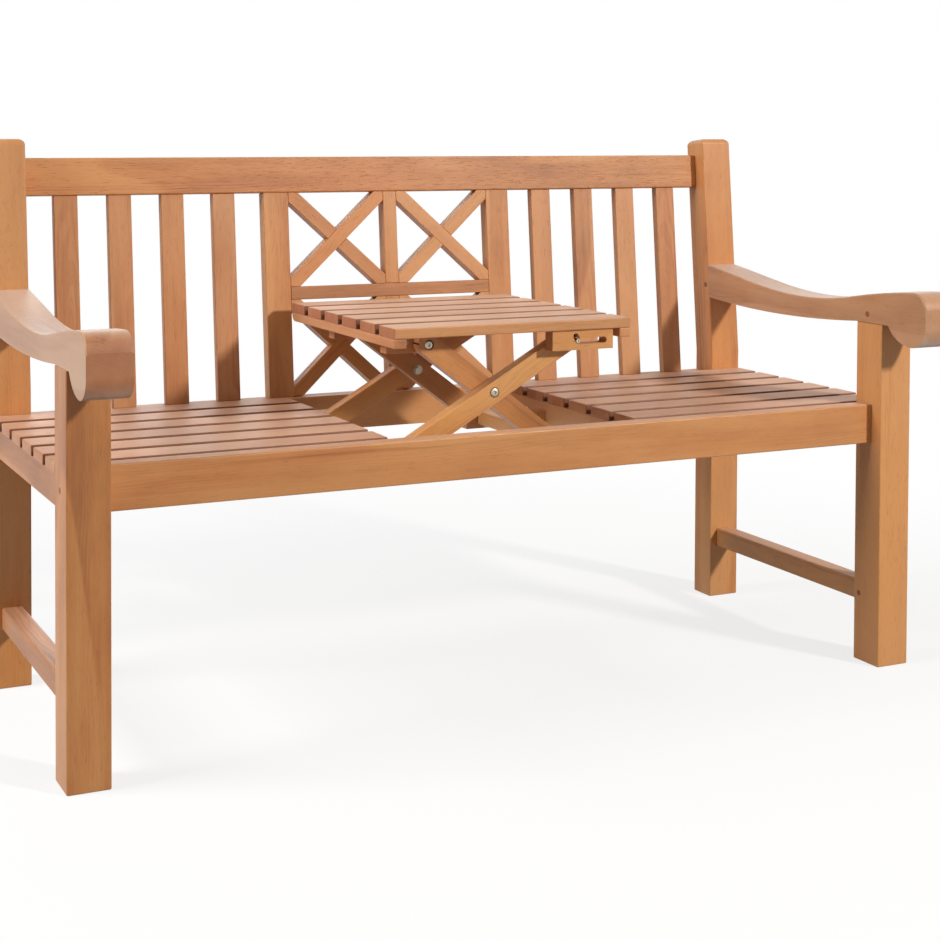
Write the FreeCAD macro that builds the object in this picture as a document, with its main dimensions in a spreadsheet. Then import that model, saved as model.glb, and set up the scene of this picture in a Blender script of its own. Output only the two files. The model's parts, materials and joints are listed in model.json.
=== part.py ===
import FreeCAD, Part

import Sketcher

import math
import os
import re

# Companion seat bench: two seat sections with a table between them that rises on a double scissor.
# X runs along the bench, +Y points to the back, Z is up, and the front faces -Y.
# Sizes that end in _y are depths measured back from the front faces of the front legs.
# The table and its scissor are drawn raised, as they stand in use.

os.makedirs("parts", exist_ok=True)
doc = FreeCAD.newDocument("companion_seat_bench")
sheet = doc.addObject("Spreadsheet::Sheet", "Sizes")

sizes = {
    # overall
    "half_width": 750.0,
    "leg_front": -241.6,
    # front legs, back posts and the rails between them
    "leg_size": 65.0,
    "leg_top": 601.0,
    "post_y": 499.5,
    "post_depth": 55.0,
    "bend_z": 496.0,
    "rake": 5.33,
    "post_rise": 426.0,
    "post_round": 11.0,
    "rail_bottom": 391.0,
    "seat_z": 459.0,
    "back_rail_top": 454.0,
    "front_rail_y": 23.0,
    "front_rail_thick": 31.5,
    "back_rail_y": 515.0,
    "back_rail_thick": 34.0,
    "side_rail_inset": 7.0,
    "side_rail_thick": 28.0,
    "stretcher_size": 35.0,
    "stretcher_bottom": 102.0,
    "stretcher_inset": 15.0,
    # arms: the nose is the scroll in front of the leg, the dip is the low middle of the top
    "arm_width": 67.0,
    "arm_nose_y": -110.0,
    "arm_nose_top": 663.0,
    "arm_nose_bottom": 569.0,
    "arm_dip_y": 201.0,
    "arm_dip_z": 631.5,
    "arm_back_top": 667.0,
    "arm_back_bottom": 603.0,
    "arm_belly_z": 592.0,
    "arm_crown_back": 33.0,
    "arm_brow_drop": 27.0,
    "arm_lip_rise": 37.0,
    "arm_nose_bulge_y": 9.5,
    "arm_brow_bulge_z": 19.0,
    "arm_lip_bulge_z": 26.0,
    "arm_throat_y": -18.0,
    "arm_throat_bulge_y": -39.0,
    "arm_throat_bulge_z": 580.0,
    "edge_round": 4.0,
    # seat slats and the dividers that carry their inner ends
    "slat_thick": 17.0,
    "slat_width": 60.0,
    "slat_gap": 15.4,
    "slat_first_y": 66.0,
    "rear_slat_width": 55.0,
    "opening_left": 226.0,
    "opening_right": 222.0,
    "divider_thick": 22.0,
    "divider_bottom": 399.0,
    # back: everything stands in one plane, set back from the front of the posts
    "back_set": 28.0,
    "back_thick": 24.0,
    "top_rail_rise": 330.0,
    "top_rail_height": 65.0,
    "mid_rail_rise": 135.2,
    "mid_rail_height": 24.0,
    "stile_inner": 202.0,
    "stile_width": 48.0,
    "centre_stile": 27.0,
    "brace_width": 25.0,
    "back_slat_width": 42.0,
    "back_slat_thick": 15.0,
    "back_slat_set": 32.0,
    # table
    "table_z": 627.0,
    "table_width": 431.0,
    "batten_width": 21.0,
    "batten_height": 15.0,
    "batten_round": 12.0,
    # scissor: how far the outside of each layer lies from the middle plane at scissor_mid_y
    "scissor_mid_y": 263.0,
    "guide_out": 192.0,
    "outer_leg_out": 167.5,
    "inner_leg_out": 143.5,
    "block_out": 119.5,
    "leg_thick": 23.0,
    "block_thick": 23.5,
    # scissor: pivots and widths seen from the front
    "leg_pivot_x": -180.0,
    "leg_pivot_z": 423.5,
    "block_pin_x": -129.5,
    "top_pin_x": 118.5,
    "scissor_share": 0.526,
    "outer_leg_width": 34.0,
    "outer_leg_end": 10.5,
    "outer_leg_corner": 7.0,
    "inner_leg_width": 36.0,
    # blocks and slotted guides under the table
    "block_height": 33.0,
    "block_inner_x": 112.5,
    "guide_inner_x": 70.0,
    "guide_gap": 10.0,
    "slot_half": 5.2,
    "slot_spare": 1.2,
    "notch_length": 9.0,
    "notch_angle": 60.0,
    # blocks and slotted guides in the opening, and the rests that the table's battens land on
    "lower_bottom": 404.0,
    "pivot_block_x": -165.0,
    "pivot_block_top": 440.0,
    "foot_guide_x": 62.0,
    "foot_guide_top": 436.0,
    "rest_top": 426.5,
    "rest_width": 36.0,
    # hardware
    "pin_radius": 3.6,
    "pin_inset": 0.5,
    "bolt_radius": 4.0,
    "running_gap": 0.06,
    "head_radius": 7.5,
    "head_height": 3.5,
    "socket_radius": 2.9,
    "socket_depth": 2.4,
    "nut_radius": 7.0,
    "nut_height": 4.0,
    "washer_radius": 8.5,
    "washer_thick": 1.2,
    "sink_radius": 8.6,
    "outer_sink": 2.5,
    "inner_sink": 4.0,
    "plug_radius": 5.0,
    "plug_depth": 8.0,
    "rail_plug_y": 36.0,
    "stretcher_plug_y": 52.0,
    "arm_plug_y": 35.0,
    "arm_plug_rise": 15.0,
    "post_plug_set": 24.0,
    "post_plug_z": 627.0,
    "screw_radius": 3.0,
    "screw_length": 16.0,
    "first_screw": 45.0,
    "screw_step": 20.0,
    "cross_bar_size": 24.0,
    "cross_bar_gap": 2.0,
}

# The scissor closes flat: with the table down, all its pivots lie on one level line.
drop = sizes["table_z"] - sizes["seat_z"]
run = sizes["top_pin_x"] - sizes["leg_pivot_x"]
outer_angle = math.atan2(drop, run)
outer_length = math.hypot(drop, run)
outer_lower = outer_length * sizes["scissor_share"]
outer_upper = outer_length - outer_lower
scissor_x = sizes["leg_pivot_x"] + outer_lower * math.cos(outer_angle)
scissor_z = sizes["leg_pivot_z"] + outer_lower * math.sin(outer_angle)
top_pin_z = sizes["leg_pivot_z"] + drop
inner_angle = math.atan2(top_pin_z - scissor_z, scissor_x - sizes["block_pin_x"])
inner_upper = math.hypot(top_pin_z - scissor_z, scissor_x - sizes["block_pin_x"])
inner_lower = outer_lower * inner_upper / outer_upper
sizes["outer_angle"] = math.degrees(outer_angle)
sizes["outer_length"] = outer_length
sizes["outer_lower"] = outer_lower
sizes["scissor_x"] = scissor_x
sizes["scissor_z"] = scissor_z
sizes["top_pin_z"] = top_pin_z
sizes["inner_angle"] = math.degrees(inner_angle)
sizes["inner_upper"] = inner_upper
sizes["inner_length"] = inner_upper + inner_lower
sizes["foot_x"] = scissor_x + inner_lower * math.cos(inner_angle)

# Lowering the table moves the inner legs' feet and the top pins sideways along their slots.
outer_swing = 1 - math.cos(outer_angle)
inner_swing = 1 - math.cos(inner_angle)
sizes["foot_travel"] = outer_lower * outer_swing + inner_lower * inner_swing
sizes["pin_travel"] = outer_upper * outer_swing + inner_upper * inner_swing

for row, (alias, number) in enumerate(sizes.items(), start=1):
    sheet.set("A%d" % row, alias)
    sheet.set("B%d" % row, "%.6f" % number)
    sheet.setAlias("B%d" % row, alias)
doc.recompute()

ALONG_X = FreeCAD.Rotation(FreeCAD.Vector(0, 1, 0), 90)
ALONG_Y = FreeCAD.Rotation(FreeCAD.Vector(1, 0, 0), -90)
NEAR = 1.0  # edges this close to a level or a plane count as lying on it
finished = []


def bound(formula):
    """Point every size named in a formula at its cell in the sheet."""
    return re.sub(r"[a-z_]+", lambda m: "Sizes." + m.group() if m.group() in sizes else m.group(), formula)


def bind(obj, prop, formula):
    obj.setExpression(prop, bound(formula))


def place(obj, x, y, z):
    """Place an object by three formulas; the depth y counts from the front of the legs."""
    bind(obj, ".Placement.Base.x", x)
    bind(obj, ".Placement.Base.y", "leg_front + " + y)
    bind(obj, ".Placement.Base.z", z)


def turn(obj, axis, angle):
    """Turn an object about an axis through its own origin by a formula in degrees."""
    obj.Placement.Rotation = FreeCAD.Rotation(FreeCAD.Vector(*axis), 1)
    bind(obj, ".Placement.Rotation.Angle", angle)


def keep(obj, label):
    """Name a finished piece, which is then written to a file of that name."""
    obj.Label = label
    finished.append(obj)
    return obj


def bare_box(length, width, height):
    """A block with no place of its own yet."""
    block = doc.addObject("Part::Box", "Block")
    bind(block, "Length", length)
    bind(block, "Width", width)
    bind(block, "Height", height)
    return block


def box(x, y, z, length, width, height):
    """A block from its low corner, along X, Y and Z."""
    block = bare_box(length, width, height)
    place(block, x, y, z)
    return block


def round_bar(rotation, x, y, z, radius, length):
    """A cylinder that starts at a point and runs along +X or +Y."""
    bar = doc.addObject("Part::Cylinder", "Bar")
    bar.Placement.Rotation = rotation
    place(bar, x, y, z)
    bind(bar, "Radius", radius)
    bind(bar, "Height", length)
    return bar


def cut(base, *tools):
    for tool in tools:
        result = doc.addObject("Part::Cut", "Cut")
        result.Base = base
        result.Tool = tool
        base = result
    return base


def common(base, tool):
    result = doc.addObject("Part::Common", "Common")
    result.Base = base
    result.Tool = tool
    return result


def fuse(*pieces):
    result = doc.addObject("Part::MultiFuse", "Fuse")
    result.Shapes = list(pieces)
    result.Refine = True
    return result


def group(*pieces):
    """Separate solids that are kept under one name."""
    result = doc.addObject("Part::Compound", "Group")
    result.Links = list(pieces)
    return result


def round_edges(piece, radius, chosen):
    """Round the edges whose middle point passes the test."""
    doc.recompute()
    result = doc.addObject("Part::Fillet", "Rounded")
    result.Base = piece
    picked = []
    for number, edge in enumerate(piece.Shape.Edges, start=1):
        if chosen(edge.BoundBox.Center, edge):
            picked.append((number, sizes[radius], sizes[radius]))
    result.Edges = picked
    return result


def mirrored_x(side, near, far):
    """Low X of a piece that spans near to far on the right, or its mirror image on the left."""
    return near if side == "right" else "-(%s)" % far


def origin_plane(body, role):
    return next(feature for feature in body.Origin.OriginFeatures if feature.Role == role)


def new_sketch(body, role):
    sketch = body.newObject("Sketcher::SketchObject", "Sketch")
    sketch.AttachmentSupport = (origin_plane(body, role), [""])
    sketch.MapMode = "FlatFace"
    return sketch


def polygon_body(points, thickness):
    """A plate with a polygon outline in the YZ plane, thickened along +X.

    The outline starts as a ring of points; the formulas then pull each corner into place.
    """
    ring_radius = 100.0
    rough_offset = 10.0
    body = doc.addObject("PartDesign::Body", "Plate")
    sketch = new_sketch(body, "YZ_Plane")
    count = len(points)
    ring = []
    for i in range(count):
        turn_angle = 2 * math.pi * i / count
        ring.append(ring_radius * FreeCAD.Vector(math.cos(turn_angle), math.sin(turn_angle), 0))
    for i in range(count):
        sketch.addGeometry(Part.LineSegment(ring[i], ring[(i + 1) % count]), False)
    for i in range(count):
        sketch.addConstraint(Sketcher.Constraint("Coincident", i, 2, (i + 1) % count, 1))
    for i, (y, z) in enumerate(points):
        for kind, formula, axis in (("DistanceX", y, -2), ("DistanceY", z, -1)):
            if formula == "0":
                sketch.addConstraint(Sketcher.Constraint("PointOnObject", i, 1, axis))
            else:
                index = sketch.addConstraint(Sketcher.Constraint(kind, -1, 1, i, 1, rough_offset))
                bind(sketch, "Constraints[%d]" % index, formula)
    pad = body.newObject("PartDesign::Pad", "Pad")
    pad.Profile = sketch
    bind(pad, "Length", thickness)
    return body


def link_body(length, width, blunt_end, holes):
    """A flat leg of the scissor, lying along +X from its first pivot, thickened along +Y.

    It is round about the first pivot. Its far end is round about the last pivot, or, where
    blunt_end is given, cut square that far past it. Each hole is (distance, radius).
    """
    body = doc.addObject("PartDesign::Body", "Leg")
    sketch = new_sketch(body, "XZ_Plane")
    half = sizes[width] / 2
    reach = sizes[length] + (sizes[blunt_end] if blunt_end else 0)
    normal = FreeCAD.Vector(0, 0, 1)
    start = Part.Circle(FreeCAD.Vector(0, 0, 0), normal, half)
    near = sketch.addGeometry(Part.ArcOfCircle(start, math.pi / 2, 3 * math.pi / 2), False)
    near_low = FreeCAD.Vector(0, -half, 0)
    near_top = FreeCAD.Vector(0, half, 0)
    far_low = FreeCAD.Vector(reach, -half, 0)
    far_top = FreeCAD.Vector(reach, half, 0)
    low = sketch.addGeometry(Part.LineSegment(near_low, far_low), False)
    top = sketch.addGeometry(Part.LineSegment(far_top, near_top), False)
    if blunt_end:
        far = sketch.addGeometry(Part.LineSegment(far_low, far_top), False)
    else:
        end = Part.Circle(FreeCAD.Vector(reach, 0, 0), normal, half)
        far = sketch.addGeometry(Part.ArcOfCircle(end, -math.pi / 2, math.pi / 2), False)

    def constrain(*terms):
        return sketch.addConstraint(Sketcher.Constraint(*terms))

    constrain("Coincident", near, 3, -1, 1)
    constrain("PointOnObject", near, 1, -2)
    constrain("PointOnObject", near, 2, -2)
    constrain("Coincident", near, 2, low, 1)
    constrain("Coincident", top, 2, near, 1)
    constrain("Horizontal", low)
    constrain("Coincident", low, 2, far, 1)
    constrain("Coincident", far, 2, top, 1)
    bind(sketch, "Constraints[%d]" % constrain("Radius", near, half), width + " / 2")
    if blunt_end:
        constrain("Horizontal", top)
        constrain("Vertical", far)
        index = constrain("DistanceX", -1, 1, low, 2, reach)
        bind(sketch, "Constraints[%d]" % index, "%s + %s" % (length, blunt_end))
    else:
        constrain("PointOnObject", far, 3, -1)
        constrain("Vertical", far, 1, far, 3)
        constrain("Vertical", far, 2, far, 3)
        index = constrain("DistanceX", -1, 1, far, 3, reach)
        bind(sketch, "Constraints[%d]" % index, length)
    for distance, radius in holes:
        x = 0.0 if distance == "0" else sizes[distance]
        ring = Part.Circle(FreeCAD.Vector(x, 0, 0), normal, sizes[radius])
        hole = sketch.addGeometry(ring, False)
        index = constrain("Radius", hole, sizes[radius])
        bind(sketch, "Constraints[%d]" % index, radius + " + running_gap")
        if distance == "0":
            constrain("Coincident", hole, 3, -1, 1)
        else:
            constrain("PointOnObject", hole, 3, -1)
            index = constrain("DistanceX", -1, 1, hole, 3, x)
            bind(sketch, "Constraints[%d]" % index, distance)
    pad = body.newObject("PartDesign::Pad", "Pad")
    pad.Profile = sketch
    pad.Reversed = True
    bind(pad, "Length", "leg_thick")
    return body


# Wooden plugs close the joints. Each plug sits flush in a hole bored along X from the given face.
plugs = []


def plug_joint(piece, side, face_x, faces, y, z):
    """Bore a plug hole into a side piece and fill it; faces is "out" or "in"."""
    outward = (side == "right") == (faces == "out")
    face = face_x if side == "right" else "-(%s)" % face_x
    start = "%s - plug_depth" % face if outward else face
    hole = round_bar(ALONG_X, start, y, z, "plug_radius + running_gap", "plug_depth")
    plugs.append(round_bar(ALONG_X, start, y, z, "plug_radius", "plug_depth"))
    return cut(piece, hole)


# Front legs: plain posts, each with a plug at the front rail and one at the low stretcher.
for side in ("left", "right"):
    x = mirrored_x(side, "half_width - leg_size", "half_width")
    leg = box(x, "0", "0", "leg_size", "leg_size", "leg_top")
    leg = plug_joint(leg, side, "half_width", "out", "rail_plug_y", "(rail_bottom + seat_z) / 2")
    leg = plug_joint(leg, side, "half_width - leg_size", "in", "stretcher_plug_y",
                     "stretcher_bottom + stretcher_size / 2")
    keep(leg, "front_leg_" + side)


def on_post_head(centre, edge):
    """True for the four edges round the top of a back post."""
    fall = sizes["post_depth"] * math.sin(math.radians(sizes["rake"]))
    head = sizes["bend_z"] + sizes["post_rise"] * math.cos(math.radians(sizes["rake"]))
    return edge.BoundBox.ZLength < fall + NEAR and centre.z > head - fall - NEAR


# Back posts: upright to just above the seat, then raked back, with a rounded top.
for side in ("left", "right"):
    post = polygon_body([
        ("0", "0"),
        ("post_depth", "0"),
        ("post_depth", "bend_z - post_depth * tan(rake / 2)"),
        ("post_rise * sin(rake) + post_depth * cos(rake)",
         "bend_z + post_rise * cos(rake) - post_depth * sin(rake)"),
        ("post_rise * sin(rake)", "bend_z + post_rise * cos(rake)"),
        ("0", "bend_z"),
    ], "leg_size")
    place(post, mirrored_x(side, "half_width - leg_size", "half_width"), "post_y", "0")
    post = round_edges(post, "post_round", on_post_head)
    post = plug_joint(post, side, "half_width - leg_size", "in", "post_y + post_plug_set", "post_plug_z")
    post = plug_joint(post, side, "half_width", "out", "post_y + post_depth / 2",
                      "(rail_bottom + seat_z) / 2")
    keep(post, "back_post_" + side)

# Rails between the legs and between the posts, and the sides that join front to back.
between_legs = "2 * (half_width - leg_size)"
inner_face = "leg_size - half_width"
for end, top in (("front", "seat_z"), ("back", "back_rail_top")):
    rail = box(inner_face, end + "_rail_y", "rail_bottom", between_legs, end + "_rail_thick",
               top + " - rail_bottom")
    keep(rail, end + "_rail")
leg_to_post = "post_y - leg_size"
slat_bottom = "seat_z - slat_thick"
stretcher_middle = sizes["stretcher_bottom"] + sizes["stretcher_size"] / 2
for side in ("left", "right"):
    x = mirrored_x(side, "half_width - side_rail_inset - side_rail_thick", "half_width - side_rail_inset")
    rail = box(x, "leg_size", "rail_bottom", "side_rail_thick", leg_to_post, slat_bottom + " - rail_bottom")
    keep(rail, "side_rail_" + side)
    x = mirrored_x(side, "half_width - stretcher_inset - stretcher_size", "half_width - stretcher_inset")
    stretcher = box(x, "leg_size", "stretcher_bottom", "stretcher_size", leg_to_post, "stretcher_size")
    stretcher = round_edges(stretcher, "edge_round", lambda centre, edge: (
        edge.BoundBox.YLength > sizes["stretcher_size"] and centre.z > stretcher_middle))
    keep(stretcher, "stretcher_" + side)

# Dividers run from front rail to back rail on both sides of the table's opening.
for side, x in (("left", "-opening_left - divider_thick"), ("right", "opening_right")):
    divider = box(x, "front_rail_y + front_rail_thick", "divider_bottom", "divider_thick",
                  "back_rail_y - front_rail_y - front_rail_thick", slat_bottom + " - divider_bottom")
    keep(divider, "divider_" + side)

# Seat slats lie on the side rails and dividers; the last one is narrower, to clear the back posts.
slat_count = 6
slat_step = "(slat_width + slat_gap)"
for side, x, length in (("left", "-half_width", "half_width - opening_left"),
                        ("right", "opening_right", "half_width - opening_right")):
    slats = []
    for i in range(slat_count):
        width = "rear_slat_width" if i == slat_count - 1 else "slat_width"
        y = "slat_first_y + %d * %s" % (i, slat_step)
        slats.append(box(x, y, slat_bottom, length, width, "slat_thick"))
    keep(group(*slats), "seat_slats_" + side)

# Arms: a long dipping top, and a scroll that rolls over in front of the leg.
arm_top = [(366.0, 644.0), (289.0, 634.5), (sizes["arm_dip_y"], sizes["arm_dip_z"]), (117.0, 637.5),
           (56.0, 647.5), (-1.0, 656.0)]


def on_post(z):
    """Depth of the raked front face of the back posts at a height above the bend."""
    return sizes["post_y"] + (z - sizes["bend_z"]) * math.tan(math.radians(sizes["rake"]))


def arm_shape():
    nose = sizes["arm_nose_y"]
    bulge = nose + sizes["arm_nose_bulge_y"]
    crown = FreeCAD.Vector(0, nose + sizes["arm_crown_back"], sizes["arm_nose_top"])
    chin = FreeCAD.Vector(0, nose + sizes["arm_crown_back"], sizes["arm_nose_bottom"])
    brow = FreeCAD.Vector(0, nose, sizes["arm_nose_top"] - sizes["arm_brow_drop"])
    brow_bulge = FreeCAD.Vector(0, bulge, brow.z + sizes["arm_brow_bulge_z"])
    lip = FreeCAD.Vector(0, nose, sizes["arm_nose_bottom"] + sizes["arm_lip_rise"])
    lip_bulge = FreeCAD.Vector(0, bulge, lip.z - sizes["arm_lip_bulge_z"])
    throat = FreeCAD.Vector(0, sizes["arm_throat_y"], sizes["leg_top"])
    throat_bulge = FreeCAD.Vector(0, sizes["arm_throat_bulge_y"], sizes["arm_throat_bulge_z"])
    shoulder = FreeCAD.Vector(0, sizes["leg_size"], sizes["leg_top"])
    heel = FreeCAD.Vector(0, on_post(sizes["arm_back_bottom"]), sizes["arm_back_bottom"])
    back = FreeCAD.Vector(0, on_post(sizes["arm_back_top"]), sizes["arm_back_top"])
    belly = FreeCAD.Vector(0, sizes["post_y"] / 2, sizes["arm_belly_z"])
    top = Part.BSplineCurve()
    top.interpolate([back] + [FreeCAD.Vector(0, y, z) for y, z in arm_top] + [crown])
    edges = [
        top.toShape(),
        Part.Arc(crown, brow_bulge, brow).toShape(),
        Part.LineSegment(brow, lip).toShape(),
        Part.Arc(lip, lip_bulge, chin).toShape(),
        Part.Arc(chin, throat_bulge, throat).toShape(),
        Part.LineSegment(throat, shoulder).toShape(),
        Part.Arc(shoulder, belly, heel).toShape(),
        Part.LineSegment(heel, back).toShape(),
    ]
    face = Part.Face(Part.Wire(edges))
    arm = face.extrude(FreeCAD.Vector(sizes["arm_width"], 0, 0))
    half_depth = sizes["post_y"] / 2
    rounded = [edge for edge in arm.Edges
               if edge.BoundBox.YLength > half_depth and edge.BoundBox.Center.z > sizes["leg_top"]]
    return arm.makeFillet(sizes["edge_round"], rounded)


for side in ("left", "right"):
    arm = doc.addObject("Part::Feature", "Arm")
    arm.Shape = arm_shape()
    place(arm, mirrored_x(side, "half_width - arm_width", "half_width"), "0", "0")
    arm = plug_joint(arm, side, "half_width - arm_width", "in", "arm_plug_y", "leg_top + arm_plug_rise")
    keep(arm, "arm_" + side)

keep(group(*plugs), "joint_plugs")


# The back. Depths here are (distance behind the posts' front plane, distance up along the rake)
# from the line where the posts bend.
def raked(obj, x, behind, rise):
    """Stand a piece in the raked plane of the back."""
    turn(obj, (1, 0, 0), "-rake")
    place(obj, x, "post_y + (%s) * cos(rake) + (%s) * sin(rake)" % (behind, rise),
          "bend_z - (%s) * sin(rake) + (%s) * cos(rake)" % (behind, rise))
    return obj


def upright(x, width, behind, thick, top_rise):
    """A slat or stile of the back: its foot is level on the back rail, its head is square."""
    foot = "back_rail_top - bend_z"
    front = "(%s) / cos(rake) + (%s) * tan(rake)" % (behind, foot)
    rear = "(%s + %s) / cos(rake) + (%s) * tan(rake)" % (behind, thick, foot)
    slat = polygon_body([
        (front, foot),
        (rear, foot),
        ("(%s + %s) * cos(rake) + %s * sin(rake)" % (behind, thick, top_rise),
         "%s * cos(rake) - (%s + %s) * sin(rake)" % (top_rise, behind, thick)),
        ("(%s) * cos(rake) + %s * sin(rake)" % (behind, top_rise),
         "%s * cos(rake) - (%s) * sin(rake)" % (top_rise, behind)),
    ], width)
    place(slat, x, "post_y", "bend_z")
    return slat


top_rail = bare_box(between_legs, "back_thick", "top_rail_height")
keep(raked(top_rail, inner_face, "back_set", "top_rail_rise"), "top_rail")
mid_rail = bare_box("2 * stile_inner", "back_thick", "mid_rail_height")
keep(raked(mid_rail, "-stile_inner", "back_set", "mid_rail_rise"), "lattice_rail")

for side in ("left", "right"):
    x = mirrored_x(side, "stile_inner", "(stile_inner + stile_width)")
    keep(upright(x, "stile_width", "back_set", "back_thick", "top_rail_rise"), "lattice_stile_" + side)
lower_stile = upright("-centre_stile / 2", "centre_stile", "back_set", "back_thick", "mid_rail_rise")
keep(lower_stile, "lattice_stile_lower")
upper_stile = bare_box("centre_stile", "back_thick", "top_rail_rise - mid_rail_rise - mid_rail_height")
raked(upper_stile, "-centre_stile / 2", "back_set", "mid_rail_rise + mid_rail_height")
keep(upper_stile, "lattice_stile_upper")

# Four slats stand on each side of the lattice with even gaps between them.
back_slats_per_side = 4
slat_space = "(half_width - leg_size - stile_inner - stile_width)"
slat_air = "((%s - %d * back_slat_width) / %d)" % (slat_space, back_slats_per_side, back_slats_per_side + 1)
for side in ("left", "right"):
    for i in range(back_slats_per_side):
        near = "stile_inner + stile_width + %d * %s + %d * back_slat_width" % (i + 1, slat_air, i)
        x = mirrored_x(side, near, "(%s + back_slat_width)" % near)
        slat = upright(x, "back_slat_width", "back_slat_set", "back_slat_thick", "top_rail_rise")
        keep(slat, "back_slat_%s_%d" % (side, i + 1))

# Lattice: two braces cross in each of four cells and are halved into each other.
cell_width = "(stile_inner - centre_stile / 2)"
lower_foot = "((back_rail_top - bend_z) / cos(rake) + (back_set + back_thick) * tan(rake))"
cells = {
    "lower": (lower_foot, "mid_rail_rise"),
    "upper": ("(mid_rail_rise + mid_rail_height)", "top_rail_rise"),
}


def brace(side, low, high, slope, behind, thick):
    """One brace through the middle of a cell; slope is 1 when it rises to the right."""
    centre_x = "(stile_inner + centre_stile / 2) / 2"
    if side == "left":
        centre_x = "-" + centre_x
    height = "(%s - %s)" % (high, low)
    tilt = "%d * atan(%s / %s)" % (slope, height, cell_width)
    length = "(%s + %s)" % (cell_width, height)
    bar = bare_box(length, thick, "brace_width")
    turn(bar, (0, 1, 0), "-" + tilt)
    bind(bar, ".Placement.Base.x",
         "%s - %s / 2 * cos(%s) + brace_width / 2 * sin(%s)" % (centre_x, length, tilt, tilt))
    bind(bar, ".Placement.Base.y", behind)
    bind(bar, ".Placement.Base.z",
         "(%s + %s) / 2 - %s / 2 * sin(%s) - brace_width / 2 * cos(%s)" % (low, high, length, tilt, tilt))
    return bar


for level, (low, high) in cells.items():
    for side in ("left", "right"):
        front_slope = 1 if side == "left" else -1
        crossing = []
        for slope, behind in ((front_slope, "back_set + back_thick / 2"), (-front_slope, "back_set")):
            bar = brace(side, low, high, slope, "back_set", "back_thick")
            halving = brace(side, low, high, -slope, behind, "back_thick / 2")
            cell = bare_box(cell_width, "back_thick", "%s - %s" % (high, low))
            bind(cell, ".Placement.Base.x", mirrored_x(side, "centre_stile / 2", "stile_inner"))
            bind(cell, ".Placement.Base.y", "back_set")
            bind(cell, ".Placement.Base.z", low)
            crossing.append(common(cut(bar, halving), cell))
        keep(raked(group(*crossing), "0", "0", "0"), "lattice_cross_%s_%s" % (level, side))

# Scissor layers: near pieces face the front of the bench, far pieces are their mirror image.
ends = {"front": -1, "rear": 1}


def layer(end, out, thick):
    """Low depth of a layer that starts a distance out from the scissor's middle plane."""
    if end == "front":
        return "scissor_mid_y - (%s)" % out
    return "scissor_mid_y + %s - (%s)" % (out, thick)


def bolt(end, x, z, radius, out, length):
    """A round bar along Y that starts on a layer's outside and runs inward."""
    return round_bar(ALONG_Y, x, layer(end, out, length), z, radius, length)


def slot(end, x, z, out, thick, travel):
    """The straight part of a slot: a pin starts at (x, z) and slides to the right."""
    near = bolt(end, x, z, "slot_half", out, thick)
    far = bolt(end, "%s + %s + slot_spare" % (x, travel), z, "slot_half", out, thick)
    middle = box(x, layer(end, out, thick), "%s - slot_half" % z,
                 "%s + slot_spare" % travel, thick, "2 * slot_half")
    return fuse(near, far, middle)


# Outer legs run from the lower left pivot to the pins in the table's guides.
outer_holes = [("0", "bolt_radius"), ("outer_lower", "bolt_radius"), ("outer_length", "pin_radius")]


def at_blunt_end(centre, edge):
    """True for the two edges that run along Y past the last pin of an outer leg."""
    reach = math.hypot(centre.x - sizes["leg_pivot_x"], centre.z - sizes["leg_pivot_z"])
    along_y = edge.BoundBox.YLength > NEAR and edge.BoundBox.XLength < NEAR
    return along_y and reach > sizes["outer_length"] + sizes["outer_leg_end"]


for end in ends:
    leg = link_body("outer_length", "outer_leg_width", "outer_leg_end", outer_holes)
    turn(leg, (0, 1, 0), "-outer_angle")
    place(leg, "leg_pivot_x", layer(end, "outer_leg_out", "leg_thick"), "leg_pivot_z")
    leg = round_edges(leg, "outer_leg_corner", at_blunt_end)
    sink = bolt(end, "scissor_x", "scissor_z", "sink_radius", "outer_leg_out", "outer_sink")
    keep(cut(leg, sink), "outer_leg_" + end)

# Inner legs hang from the table's left blocks. The bolt's head is sunk below their outside, because
# the outer leg sweeps past it as the table comes down.
inner_holes = [("0", "bolt_radius"), ("inner_upper", "bolt_radius"), ("inner_length", "pin_radius")]
for end in ends:
    leg = link_body("inner_length", "inner_leg_width", None, inner_holes)
    turn(leg, (0, 1, 0), "inner_angle")
    place(leg, "block_pin_x", layer(end, "inner_leg_out", "leg_thick"), "top_pin_z")
    sink = bolt(end, "block_pin_x", "top_pin_z", "sink_radius", "inner_leg_out", "inner_sink")
    keep(cut(leg, sink), "inner_leg_" + end)

# A bar ties the inner legs' feet; the rod through it ends in the slots of the foot guides.
foot_rod_reach = "(inner_leg_out - pin_inset)"
keep(round_bar(ALONG_Y, "foot_x", "scissor_mid_y - %s" % foot_rod_reach, "leg_pivot_z", "pin_radius",
               "2 * %s" % foot_rod_reach), "foot_rod")
bar_reach = "(block_out - block_thick - cross_bar_gap)"
cross_bar = box("foot_x - cross_bar_size / 2", "scissor_mid_y - %s" % bar_reach,
                "leg_pivot_z - cross_bar_size / 2", "cross_bar_size", "2 * %s" % bar_reach, "cross_bar_size")
cross_bar = round_edges(cross_bar, "edge_round",
                        lambda centre, edge: edge.BoundBox.YLength > sizes["cross_bar_size"])
rod_hole = round_bar(ALONG_Y, "foot_x", "scissor_mid_y - %s" % bar_reach, "leg_pivot_z",
                     "pin_radius + running_gap", "2 * %s" % bar_reach)
keep(cut(cross_bar, rod_hole), "cross_bar")

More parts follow.
